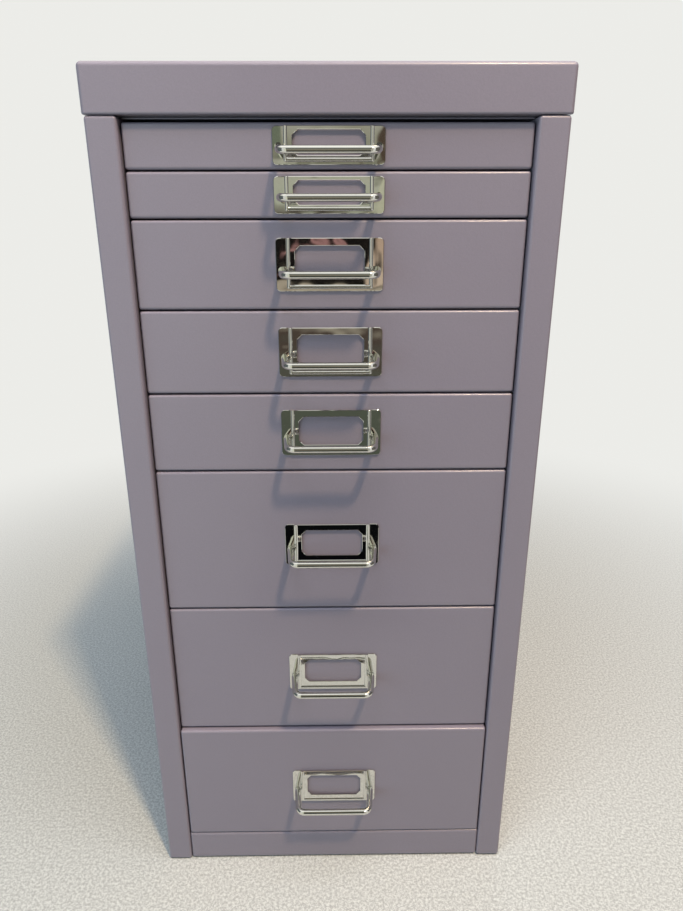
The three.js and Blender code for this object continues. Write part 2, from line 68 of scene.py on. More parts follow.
def new_light(name, place, target, width, height, power, colour):
    """A flat lamp at a place, turned to a target."""
    lamp = bpy.data.objects.new(name, bpy.data.lights.new(name, "AREA"))
    lamp.data.shape = "RECTANGLE"
    lamp.data.size = width
    lamp.data.size_y = height
    lamp.data.energy = power
    lamp.data.color = colour
    lamp.location = place
    lamp.rotation_euler = (Vector(target) - Vector(place)).to_track_quat("-Z", "Y").to_euler()
    bpy.context.scene.collection.objects.link(lamp)
    return lamp


new_light("ceiling_lamp", (0.64, -1.32, 2.66), (0, -0.17, 0.35), 0.17, 0.17, 46.5, (1.0, 0.75, 0.47))
window = new_light(
    "window_lamp", (-1.05, -1.15, 0.32), (0, -0.1, 0.25), 1.4, 1.2, 12.2, (0.63, 0.88, 1.0))
window.visible_glossy = False
new_light("wall_lamp", (1.2, -1.0, 1.2), (0, -0.1, 0.45), 0.9, 0.9, 1.2, (1.0, 0.90, 0.95))
overhead = new_light(
    "soft_panel", (0.1, -0.52, 1.6), (0, -0.35, 0.1), 1.4, 0.55, 17, (0.88, 0.90, 0.98))
overhead.visible_glossy = False
new_light("back_lamp", (0.5, 1.5, 0.8), (0, 0.2, 0.3), 1.4, 1.0, 6, (0.88, 0.95, 1.0))


def by_ray(tree, lit, seen):
    """Mixes two shaders: one lights the object, and the other is what the camera and metal see."""
    ray = tree.nodes.new("ShaderNodeLightPath")
    total = ray.outputs["Is Camera Ray"]
    for kind in ("Is Glossy Ray", "Is Transmission Ray"):
        either = tree.nodes.new("ShaderNodeMath")
        either.operation = "MAXIMUM"
        tree.links.new(total, either.inputs[0])
        tree.links.new(ray.outputs[kind], either.inputs[1])
        total = either.outputs[0]
    choice = tree.nodes.new("ShaderNodeMixShader")
    tree.links.new(total, choice.inputs[0])
    tree.links.new(lit, choice.inputs[1])
    tree.links.new(seen, choice.inputs[2])
    return choice.outputs[0]


pale_tone = (0.84, 0.84, 0.81, 1)
world = bpy.data.worlds.new("pale_room")
bpy.context.scene.world = world
world.use_nodes = True
sky = world.node_tree.nodes["Background"]
sky.inputs["Color"].default_value = (0.70, 0.83, 1.0, 1)
sky.inputs["Strength"].default_value = 0.162
pale = world.node_tree.nodes.new("ShaderNodeBackground")
pale.inputs["Color"].default_value = pale_tone
mixed = by_ray(world.node_tree, sky.outputs[0], pale.outputs[0])
world.node_tree.links.new(mixed, world.node_tree.nodes["World Output"].inputs[0])


# The worktop is a pale board with a fine fleck. It fades into the pale room away from the cabinet,
# and throws less light up at the cabinet than the camera sees on it.
def new_finish(name):
    """A new material, and a way to add nodes to it: add(kind, inputs by name or number, settings)."""
    finish = bpy.data.materials.new(name)
    finish.use_nodes = True
    tree = finish.node_tree
    shader = tree.nodes["Principled BSDF"]

    def add(kind, inputs=None, **settings):
        node = tree.nodes.new("ShaderNode" + kind)
        for key, value in settings.items():
            setattr(node, key, value)
        for key, value in (inputs or {}).items():
            if isinstance(value, bpy.types.NodeSocket):
                tree.links.new(value, node.inputs[key])
            else:
                node.inputs[key].default_value = value
        return node

    def feed(socket, value):
        tree.links.new(value, shader.inputs[socket])

    return finish, shader, add, feed


def give_surface(finish, surface):
    """Makes a shader the surface of a finish."""
    tree = finish.node_tree
    tree.links.new(surface, tree.nodes["Material Output"].inputs[0])


def step_up(add, value, start, end, **settings):
    """Goes from 0 to 1 while a value goes from start to end."""
    return add("MapRange", {0: value, 1: start, 2: end}, **settings).outputs[0]


def blend(add, share, first, second):
    """The colour that lies between two others by a share."""
    return add("Mix", {0: share, 6: first, 7: second}, data_type="RGBA").outputs[2]


worktop_size = 12
worktop_finish, shader, add, feed = new_finish("pale_worktop")
where = add("TexCoord").outputs["Object"]
coarse = add("TexNoise", {"Vector": where, "Scale": 460.0, "Detail": 2.0})
fine = add("TexNoise", {"Vector": where, "Scale": 1100.0})
fleck = add("Math", {0: coarse.outputs[0], 1: fine.outputs[0]}, operation="ADD")
level = step_up(add, fleck.outputs[0], 0.82, 1.18)
feed("Base Color", blend(add, level, (0.43, 0.44, 0.425, 1), (0.71, 0.73, 0.70, 1)))
shader.inputs["Roughness"].default_value = 0.8
distance = add("VectorMath", {0: where}, operation="LENGTH")
fade = step_up(add, distance.outputs["Value"], 0.28, 1.05, interpolation_type="SMOOTHSTEP")
far = add("Emission", {"Color": pale_tone})
distant = add("MixShader", {0: fade, 1: shader.outputs[0], 2: far.outputs[0]})
under = add("BsdfDiffuse", {"Color": (0.31, 0.31, 0.29, 1)})
give_surface(worktop_finish, by_ray(worktop_finish.node_tree, under.outputs[0], distant.outputs[0]))
bpy.ops.object.select_all(action="DESELECT")
bpy.ops.mesh.primitive_plane_add(size=worktop_size)
worktop = bpy.context.object
worktop.name = "worktop"
worktop.data.materials.append(worktop_finish)

# The cards stand for the room in front of the cabinet, which only its chrome and the gloss of its
# paint show. They glow though they are no lamps, and their colours are painted reflections. The front
# card has bands from black at its foot to pale at its top, a pink arc, warm patches on the right and
# bright strips at both ends.
card_y = -0.66
card_half_width = 0.28
card_height = 0.72
card_finish, shader, add, feed = new_finish("front_card")
where = add("TexCoord").outputs["Object"]
parts = add("SeparateXYZ", {0: where})
drift = add("TexNoise", {"Vector": where, "Scale": 8.0, "Detail": 1.0})
moved = add("Math", {0: drift.outputs[0], 1: 0.03, 2: parts.outputs["Z"]}, operation="MULTIPLY_ADD")
level = step_up(add, moved.outputs[0], 0.015, 0.735)


def bands(add, level, shades):
    """A ramp of card colours by height. Each has its share of the card's height and its colour."""
    ramp = add("ValToRGB", {0: level})
    for place, *_ in shades[2:]:
        ramp.color_ramp.elements.new(place)
    for element, (place, *shade) in zip(ramp.color_ramp.elements, shades):
        element.position = place
        element.color = (*shade, 1) if len(shade) == 3 else shade
    return ramp


middle = bands(add, level, (
    (0.000, 0.003, 0.003, 0.004), (0.188, 0.004, 0.005, 0.005), (0.208, 0.090, 0.102, 0.080),
    (0.375, 0.105, 0.118, 0.090), (0.430, 0.100, 0.098, 0.078), (0.500, 0.085, 0.062, 0.050),
    (0.556, 0.520, 0.470, 0.370), (0.592, 0.460, 0.390, 0.300), (0.606, 0.010, 0.009, 0.008),
    (0.694, 0.012, 0.010, 0.009), (0.711, 0.170, 0.150, 0.120), (0.743, 0.500, 0.520, 0.410),
    (0.785, 0.520, 0.520, 0.420), (0.800, 0.240, 0.240, 0.180), (0.847, 0.380, 0.370, 0.290),
    (1.000, 0.800, 0.800, 0.760),
))
# The fourth value of a band beside the middle is how much it covers.
beside = bands(add, level, (
    (0.000, 0.10, 0.10, 0.08, 0.0), (0.600, 0.70, 0.55, 0.42, 0.0), (0.610, 0.70, 0.55, 0.42, 1.0),
    (0.694, 0.52, 0.36, 0.26, 1.0), (0.711, 0.55, 0.54, 0.40, 1.0), (0.780, 0.62, 0.62, 0.46, 1.0),
    (0.800, 0.10, 0.07, 0.05, 1.0), (1.000, 0.08, 0.06, 0.05, 1.0),
))
spots = add("TexNoise", {"Vector": where, "Scale": 14.0, "Detail": 1.0})
arc_centre = (-0.022, card_y, 0.425)
reach = add("VectorMath", {0: where, 1: arc_centre}, operation="DISTANCE").outputs["Value"]
inner = step_up(add, reach, 0.052, 0.056)
outer = step_up(add, reach, 0.064, 0.061)
arc = add("Math", {0: inner, 1: outer}, operation="MULTIPLY")
above = step_up(add, parts.outputs["Z"], 0.450, 0.475)
pink = add("Math", {0: arc.outputs[0], 1: above}, operation="MULTIPLY")
tinted = blend(add, pink.outputs[0], middle.outputs[0], (0.42, 0.22, 0.21, 1))
aside = add("Math", {0: spots.outputs[0], 1: 0.02, 2: parts.outputs["X"]}, operation="MULTIPLY_ADD")
edge = step_up(add, aside.outputs[0], 0.060, 0.068)
share = add("Math", {0: edge, 1: beside.outputs[1]}, operation="MULTIPLY")
warmer = blend(add, share.outputs[0], tinted, beside.outputs[0])
left_edge = step_up(add, aside.outputs[0], -0.052, -0.058)
high_up = step_up(add, level, 0.79, 0.81)
left_share = add("Math", {0: left_edge, 1: high_up}, operation="MULTIPLY")
whole = blend(add, left_share.outputs[0], warmer, (0.18, 0.21, 0.15, 1))
span = add("Math", {0: aside.outputs[0]}, operation="ABSOLUTE")
beyond = step_up(add, span.outputs[0], 0.085, 0.105)
right = step_up(add, parts.outputs["X"], -0.05, 0.05)
strips = blend(add, right, (0.80, 0.82, 0.68, 1), (0.50, 0.48, 0.42, 1))
glow = add("Emission", {"Color": blend(add, beyond, whole, strips)})
give_surface(card_finish, glow.outputs[0])


def new_card(name, low, high, turn, finish):
    """A flat card that only the chrome and the gloss of the paint see."""
    low, high = Vector(low), Vector(high)
    bpy.ops.object.select_all(action="DESELECT")
    bpy.ops.mesh.primitive_plane_add(size=1, location=(low + high) / 2, rotation=turn)
    card = bpy.context.object
    sides = Matrix.Rotation(-turn[1], 3, "Y") @ Matrix.Rotation(-turn[0], 3, "X") @ (high - low)
    card.scale = (abs(sides.x), abs(sides.y), 1)
    card.name = name
    bpy.ops.object.transform_apply(location=True, rotation=True, scale=True)
    card.data.materials.append(finish)
    card.visible_camera = False
    card.visible_diffuse = False
    card.visible_shadow = False


def plain_glow(name, colour):
    """A card's finish that gives off one even colour."""
    finish, _, add, _ = new_finish(name)
    give_surface(finish, add("Emission", {"Color": colour}).outputs[0])
    return finish


lying = (0, 0, 0)
facing = (math.pi / 2, 0, 0)
at_side = (0, math.pi / 2, 0)
front_low, front_high = (-card_half_width, card_y, 0), (card_half_width, card_y, card_height)
new_card("front_card", front_low, front_high, facing, card_finish)
for name, low, high, turn, glow_name, colour in (
    ("floor_card", (-0.12, card_y, 0.001), (0.12, -0.503, 0.001), lying,
     "black_card", (0.004, 0.004, 0.004, 1)),
    ("left_card", (-0.75, -0.8, 0.0), (-0.75, 0.2, 1.1), at_side,
     "blue_grey_card", (0.13, 0.15, 0.16, 1)),
    ("right_card", (0.75, -0.8, 0.0), (0.75, 0.2, 1.1), at_side,
     "brown_grey_card", (0.14, 0.13, 0.12, 1)),
    ("body_card", (-0.13, -0.655, 0.635), (0.13, -0.655, 0.86), facing,
     "dark_card", (0.10, 0.10, 0.09, 1)),
    ("upper_card", (-0.9, -0.75, 1.7), (0.9, 0.5, 1.7), lying,
     "bright_card", (1.35, 1.35, 1.30, 1)),
):
    new_card(name, low, high, turn, plain_glow(glow_name, colour))


# The powder coat on all the sheet: a lilac grey, half matt, baked on, with the fine orange peel
# that such a coat has and hardly any change of tone from place to place.
def spread(add, value, low, high):
    """Goes from low to high while a value goes from 0 to 1."""
    return add("MapRange", {0: value, 3: low, 4: high}).outputs[0]


coat, shader, add, feed = new_finish("lilac_powder_coat")
where = add("TexCoord").outputs["Object"]
cloud = add("TexNoise", {"Vector": where, "Scale": 9.0, "Detail": 2.0})
grain = add("TexNoise", {"Vector": where, "Scale": 1500.0, "Detail": 1.0})
peel = add("TexNoise", {"Vector": where, "Scale": 520.0, "Detail": 2.0})
tint = blend(add, cloud.outputs[0], (0.252, 0.222, 0.272, 1), (0.270, 0.238, 0.284, 1))
speck = spread(add, grain.outputs[0], 0.93, 1.07)
speckled = add("VectorMath", {0: tint, 3: speck}, operation="SCALE")
feed("Base Color", speckled.outputs[0])
feed("Roughness", spread(add, peel.outputs[0], 0.32, 0.44))
shader.inputs["Coat Weight"].default_value = 0.3
shader.inputs["Coat Roughness"].default_value = 0.16
fine = add("Bump", {"Strength": 0.35, "Distance": 0.00004, "Height": grain.outputs[0]})
rough = add("Bump", {
    "Strength": 0.5, "Distance": 0.00016, "Height": peel.outputs[0], "Normal": fine.outputs[0]})
feed("Normal", rough.outputs[0])


# The cap is a shallow lid pressed from 0.8 mm steel. Its lower edges turn in all round, its
# corners are welded and ground round, and it sits down on the flanges of the carcase.
def blank(name, low, high):
    """A block between two corners, at its place, ready to be worked in edit mode."""
    low, high = Vector(low), Vector(high)
    bpy.ops.object.select_all(action="DESELECT")
    bpy.ops.mesh.primitive_cube_add(size=1, location=(low + high) / 2, scale=high - low)
    piece = bpy.context.object
    piece.name = name
    piece.data.name = name
    bpy.ops.object.transform_apply(location=True, rotation=True, scale=True)
    bpy.ops.object.mode_set(mode="EDIT")
    return piece


def pick(piece, kind, wanted):
    """Selects the faces, edges or points that the test wants, and nothing else."""
    bpy.ops.mesh.select_all(action="DESELECT")
    bpy.ops.mesh.select_mode(type=kind)
    shape = bmesh.from_edit_mesh(piece.data)
    members = {"VERT": shape.verts, "EDGE": shape.edges, "FACE": shape.faces}[kind]
    for member in members:
        if wanted(member):
            member.select_set(True)
    bmesh.update_edit_mesh(piece.data)


def fold(piece, radius, steps, wanted=lambda edge: True):
    """Rounds the corners between faces that meet at an angle, as a press brake does."""
    sharp = 0.5
    pick(piece, "EDGE", lambda edge: (
        not edge.is_boundary and edge.calc_face_angle(0) > sharp and wanted(edge)))
    bpy.ops.mesh.bevel(offset=radius, segments=steps, affect="EDGES")


def open_up(piece, is_open, lip):
    """Opens one side of a block, and leaves a lip of it standing all round."""
    pick(piece, "FACE", is_open)
    bpy.ops.mesh.inset(thickness=lip)
    bpy.ops.mesh.delete(type="FACE")


def thicken(piece, sheet):
    """Gives a shaped skin the thickness of its sheet, inward, and closes its rims."""
    bpy.ops.object.mode_set(mode="OBJECT")
    wall = piece.modifiers.new("sheet", "SOLIDIFY")
    wall.thickness = sheet
    wall.offset = -1
    wall.use_even_offset = True
    bpy.ops.object.modifier_apply(modifier=wall.name)


def smooth(piece, angle=35):
    """Shades the bends smooth, and keeps the flats flat."""
    bpy.ops.object.select_all(action="DESELECT")
    bpy.context.view_layer.objects.active = piece
    piece.select_set(True)
    bpy.ops.object.shade_smooth_by_angle(angle=math.radians(angle))
    even = piece.modifiers.new("flats", "WEIGHTED_NORMAL")
    even.keep_sharp = True
    bpy.ops.object.modifier_apply(modifier=even.name)


def fit(piece, finish, body, node):
    """Gives a piece its finish, and puts it in the place of its plain solid."""
    piece.data.materials.clear()
    piece.data.materials.append(finish)
    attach(piece, body)
    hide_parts(node)


near = 1e-5
low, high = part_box("top_cap")
cap_lip = 0.014
body_sheet = 0.0008
cap_top_fold = 0.0028
cap_low_fold = 0.0012
cap = blank("cap_shell", low, high)
open_up(cap, lambda face: face.normal.z < -0.5, cap_lip)
fold(cap, cap_top_fold, 6, lambda edge: any(v.co.z > high.z - near for v in edge.verts))
fold(cap, cap_low_fold, 4)
thicken(cap, body_sheet)
smooth(cap)
fit(cap, coat, "carcase", "top_cap")


# Each side panel is one sheet, folded round to make the front post, its return, the side and the
# rear flange. Flat flanges close it at the top and at the bottom, where the glides plug in.
def drill(piece, centre, radius, turn):
    """Cuts one round hole through a sheet."""
    bpy.ops.object.select_all(action="DESELECT")
    bpy.ops.mesh.primitive_cylinder_add(
        vertices=24, radius=radius, depth=0.004, location=centre, rotation=turn)
    cutter = bpy.context.object
    bpy.ops.object.select_all(action="DESELECT")
    bpy.context.view_layer.objects.active = piece
    piece.select_set(True)
    hole = piece.modifiers.new("hole", "BOOLEAN")
    hole.object = cutter
    bpy.ops.object.modifier_apply(modifier=hole.name)
    bpy.data.objects.remove(cutter)


post_return = 0.030
glide_inset = 0.014
glide_hole = 0.0029
body_fold = 0.0019
for side, hand in ((-1, "left"), (1, "right")):
    node = "side_panel_" + hand
    low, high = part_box(node)
    return_end = low.y + post_return
    panel = blank(node + "_sheet", low, high)
    bpy.ops.mesh.select_all(action="SELECT")
    bpy.ops.mesh.bisect(plane_co=(0, return_end, 0), plane_no=(0, 1, 0))
    pick(panel, "FACE", lambda face: (
        face.normal.x * side < -0.5 and face.calc_center_median().y > return_end))
    bpy.ops.mesh.delete(type="FACE")
    fold(panel, body_fold, 6)
    thicken(panel, body_sheet)
    for y in (low.y + glide_inset, high.y - glide_inset):
        drill(panel, ((low.x + high.x) / 2, y, low.z), glide_hole, lying)
    smooth(panel)
    fit(panel, coat, "carcase", node)


# The head rail and the back panel are plain bent sheets, spot-welded in between the side panels.
# They keep the shapes of their solids.
def dress(node, finish):
    """Gives a solid that keeps its own shape its finish."""
    for slot in frame["nodes"][node].material_slots:
        slot.material = finish


dress("head_rail", coat)
dress("back_panel", coat)

# The base pan is the floor of the cabinet. Its front wall shows as the rail under the drawers,
# and its lower edges turn in all round. It is spot-welded between the posts.
base_lip = 0.012
low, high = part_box("base_pan")
pan = blank("base_pan_sheet", low, high)
open_up(pan, lambda face: face.normal.z < -0.5, base_lip)
fold(pan, body_fold, 6)
thicken(pan, body_sheet)
smooth(pan)
fit(pan, coat, "carcase", "base_pan")

# The rear uprights and the runners are zinc-plated strip. The plating is bright but soft, with
# the faint streaks of the rolled steel under it.
zinc, shader, add, feed = new_finish("zinc_plate")
where = add("TexCoord").outputs["Object"]
along = add("Mapping", {"Vector": where, "Scale": (60.0, 60.0, 900.0)})
streaks = add("TexNoise", {"Vector": along.outputs[0], "Scale": 1.0, "Detail": 3.0})
bloom = add("TexNoise", {"Vector": where, "Scale": 60.0, "Detail": 2.0})
feed("Base Color", blend(add, bloom.outputs[0], (0.48, 0.50, 0.53, 1), (0.60, 0.61, 0.62, 1)))
shader.inputs["Metallic"].default_value = 1.0
feed("Roughness", spread(add, streaks.outputs[0], 0.28, 0.48))
relief = add("Bump", {"Strength": 0.3, "Distance": 0.00003, "Height": streaks.outputs[0]})
feed("Normal", relief.outputs[0])
dress("rear_upright_left", zinc)
dress("rear_upright_right", zinc)


# Each runner is a channel of 1 mm strip for one flange of a tray. A tab at its front end hangs
# down and stops the open drawer, and its back end is turned in and stops the closed one.
def set_out(model, first, node, name):
    """A copy of a finished piece, with its own mesh, at the place of another solid."""
    twin = model.copy()
    twin.data = model.data.copy()
    twin.name = name
    twin.data.name = name
    twin.data.transform(Matrix.Translation(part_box(node)[0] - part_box(first)[0]))
    bpy.context.scene.collection.objects.link(twin)
    return twin


runner_sheet = 0.001
runner_fold = 0.0015
tab_drop = 0.0024
for side, hand in ((-1, "left"), (1, "right")):
    first = "drawer_1_runner_" + hand
    low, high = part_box(first)
    channel = blank(first + "_channel", low, high)
    tab_low = high.z - runner_sheet - tab_drop
    bpy.ops.mesh.select_all(action="SELECT")
    bpy.ops.mesh.bisect(plane_co=(0, 0, tab_low), plane_no=(0, 0, 1))
    pick(channel, "FACE", lambda face: face.normal.x * side < -0.5 or (
        face.normal.y < -0.5 and face.calc_center_median().z < tab_low))
    bpy.ops.mesh.delete(type="FACE")
    fold(channel, runner_fold, 4)
    thicken(channel, runner_sheet)
    smooth(channel)
    nodes = [f"drawer_{n}_runner_{hand}" for n in range(1, 9)]
    twins = [set_out(channel, first, node, node + "_channel") for node in nodes[1:]]
    for node, model in zip(nodes, [channel] + twins):
        fit(model, zinc, "carcase", node)

# Each glide is a black nylon button. Its stem is pushed up through the bottom flange, and its
# head snaps in behind the sheet.
nylon, shader, add, feed = new_finish("black_nylon")
where = add("TexCoord").outputs["Object"]
mottle = add("TexNoise", {"Vector": where, "Scale": 900.0, "Detail": 2.0})
feed("Base Color", blend(add, mottle.outputs[0], (0.012, 0.012, 0.013, 1), (0.022, 0.022, 0.024, 1)))
feed("Roughness", spread(add, mottle.outputs[0], 0.45, 0.62))
relief = add("Bump", {"Strength": 0.3, "Distance": 0.00003, "Height": mottle.outputs[0]})
feed("Normal", relief.outputs[0])
foot_radius = 0.007
foot_height = 0.0007
foot_edge = 0.0002
stem_radius = 0.0026
stem_height = 0.0014
head_height = 0.0019
head_radius = 0.0035
tip_radius = 0.002
head_spread = head_radius / stem_radius
tip_spread = tip_radius / head_radius
rim_from = 0.0065
same = 1e-6
first = "glide_front_left"
low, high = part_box(first)
axis = (low + high) / 2
bpy.ops.object.select_all(action="DESELECT")
bpy.ops.mesh.primitive_cylinder_add(
    vertices=48, radius=foot_radius, depth=foot_height, location=(axis.x, axis.y, foot_height / 2))
glide = bpy.context.object
glide.name = first + "_button"
bpy.ops.object.transform_apply(location=True, rotation=True, scale=True)
bpy.ops.object.mode_set(mode="EDIT")
pick(glide, "FACE", lambda face: face.normal.z > 0.5)
bpy.ops.mesh.inset(thickness=foot_radius - stem_radius)
bpy.ops.mesh.extrude_region_move(TRANSFORM_OT_translate={"value": (0, 0, stem_height)})
bpy.ops.mesh.extrude_region_move(TRANSFORM_OT_translate={"value": (0, 0, 0)})
bpy.ops.transform.resize(value=(head_spread, head_spread, 1), center_override=(axis.x, axis.y, 0))
bpy.ops.mesh.extrude_region_move(TRANSFORM_OT_translate={"value": (0, 0, head_height)})
bpy.ops.transform.resize(value=(tip_spread, tip_spread, 1), center_override=(axis.x, axis.y, 0))
pick(glide, "EDGE", lambda edge: (
    edge.calc_face_angle(0) > 0.5
    and all((v.co.xy - axis.xy).length > rim_from for v in edge.verts)
    and abs(edge.verts[0].co.z - edge.verts[1].co.z) < same))
bpy.ops.mesh.bevel(offset=foot_edge, segments=2, affect="EDGES")
bpy.ops.object.mode_set(mode="OBJECT")
smooth(glide)
others = ("glide_front_right", "glide_rear_left", "glide_rear_right")
glides = [glide] + [set_out(glide, first, node, node + "_button") for node in others]
for node, model in zip((first,) + others, glides):
    fit(model, nylon, "carcase", node)


# Each tray is folded from 0.7 mm sheet: a floor, four walls, and a flange turned out along each
# side that slides in the runners. A lug on each flange stops the drawer at the end of its travel.
def fit_alike(model, part, form, finish, n, alike):
    """Fits a drawer's piece, and copies of it in the drawers that are alike."""
    first = f"drawer_{n}_{part}"
    twins = [set_out(model, first, f"drawer_{m}_{part}", f"drawer_{m}_{part}_{form}") for m in alike]
    for m, piece in zip((n,) + alike, [model] + twins):
        fit(piece, finish, f"drawer_{m}", f"drawer_{m}_{part}")


kinds = ((1, ()), (2, ()), (3, (4, 5)), (6, (7,)), (8, ()))
tray_sheet = 0.0007
tray_fold = 0.0016
flange_width = 0.007
lug_height = 0.0026
lug_root = 0.0002
lug_edge = 0.0003
lug_room = 0.001
stop_gap = 0.0004
slide = frame["joints"][0]["range_m"]
travel = slide[1] - slide[0]
runner_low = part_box("drawer_1_runner_right")[0]
runner_start = runner_low.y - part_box("drawer_1_tray")[0].y
for n, alike in kinds:
    first = f"drawer_{n}_tray"
    low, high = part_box(first)
    shoulder = high.z - lug_height - tray_sheet
    tray = blank(
        first + "_pan", (low.x + flange_width, low.y, low.z), (high.x - flange_width, high.y, shoulder))
    pick(tray, "FACE", lambda face: face.normal.z > 0.5)
    bpy.ops.mesh.delete(type="ONLY_FACE")
    fold(tray, tray_fold, 4)
    for side in (-1, 1):
        pick(tray, "EDGE", lambda edge: edge.is_boundary and all(
            v.co.x * side > high.x - flange_width - near for v in edge.verts))
        bpy.ops.mesh.extrude_edges_move(TRANSFORM_OT_translate={"value": (side * flange_width, 0, 0)})
    bpy.ops.mesh.select_all(action="SELECT")
    bpy.ops.mesh.normals_make_consistent(inside=False)
    thicken(tray, tray_sheet)
    lug_front = low.y + runner_start + runner_sheet + stop_gap + travel
    lug_low = high.z - lug_height - lug_root
    lugs = []
    for side in (-1, 1):
        ends = sorted((side * (runner_low.x + lug_room), side * high.x))
        lug = blank("lug", (ends[0], lug_front, lug_low), (ends[1], lug_front + tray_sheet, high.z))
        pick(lug, "EDGE", lambda edge: all(v.co.z > high.z - near for v in edge.verts))
        bpy.ops.mesh.bevel(offset=lug_edge, segments=2, affect="EDGES")
        bpy.ops.object.mode_set(mode="OBJECT")
        lugs.append(lug)
    bpy.ops.object.select_all(action="DESELECT")
    for lug in lugs:
        lug.select_set(True)
    tray.select_set(True)
    bpy.context.view_layer.objects.active = tray
    bpy.ops.object.join()
    smooth(tray)
    fit_alike(tray, "tray", "pan", coat, n, alike)


# Each drawer front is a shallow pan pressed from 0.8 mm sheet, its four walls turned in at the
# back. It is spot-welded to the front wall of its tray, and drilled for the tenons of the pull.
def drill_for_pull(piece, n, y):
    """Drills a piece of a drawer for the two tenons of its pull."""
    leg_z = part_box(f"drawer_{n}_pull")[1].z - leg_below_top
    for side in (-1, 1):
        drill(piece, (side * leg_half, y, leg_z), tenon_hole, facing)


front_sheet = 0.0008
front_lip = 0.006
front_side_lip = 0.010
front_fold = 0.0017
tenon_hole = 0.0018
leg_half = 0.0290
leg_below_top = 0.0027
for n, alike in kinds:
    first = f"drawer_{n}_front"
    low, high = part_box(first)
    front = blank(first + "_pan", low, high)
    pick(front, "FACE", lambda face: face.normal.y > 0.5)
    bpy.ops.mesh.inset(thickness=front_lip)
    narrower = (high.x - front_side_lip) / (high.x - front_lip)
    bpy.ops.transform.resize(
        value=(narrower, 1, 1), center_override=(0, high.y, (low.z + high.z) / 2))
    bpy.ops.mesh.delete(type="FACE")
    fold(front, front_fold, 6)
    thicken(front, front_sheet)
    drill_for_pull(front, n, low.y)
    smooth(front)
    fit_alike(front, "front", "pan", coat, n, alike)

# Each label plate is 0.7 mm sheet, pressed and bright chromed. A round bead runs down both sides
# and along the bottom of a raised pocket for the card, and the pocket has an eight-sided window.
chrome, shader, add, feed = new_finish("bright_chrome")
where = add("TexCoord").outputs["Object"]
waves = add("TexNoise", {"Vector": where, "Scale": 70.0, "Detail": 1.0})
haze = add("TexNoise", {"Vector": where, "Scale": 700.0, "Detail": 3.0})
feed("Base Color", blend(add, haze.outputs[0], (0.64, 0.64, 0.60, 1), (0.70, 0.70, 0.66, 1)))
shader.inputs["Metallic"].default_value = 1.0
feed("Roughness", spread(add, haze.outputs[0], 0.02, 0.07))
relief = add("Bump", {"Strength": 1.0, "Distance": 0.0003, "Height": waves.outputs[0]})
feed("Normal", relief.outputs[0])

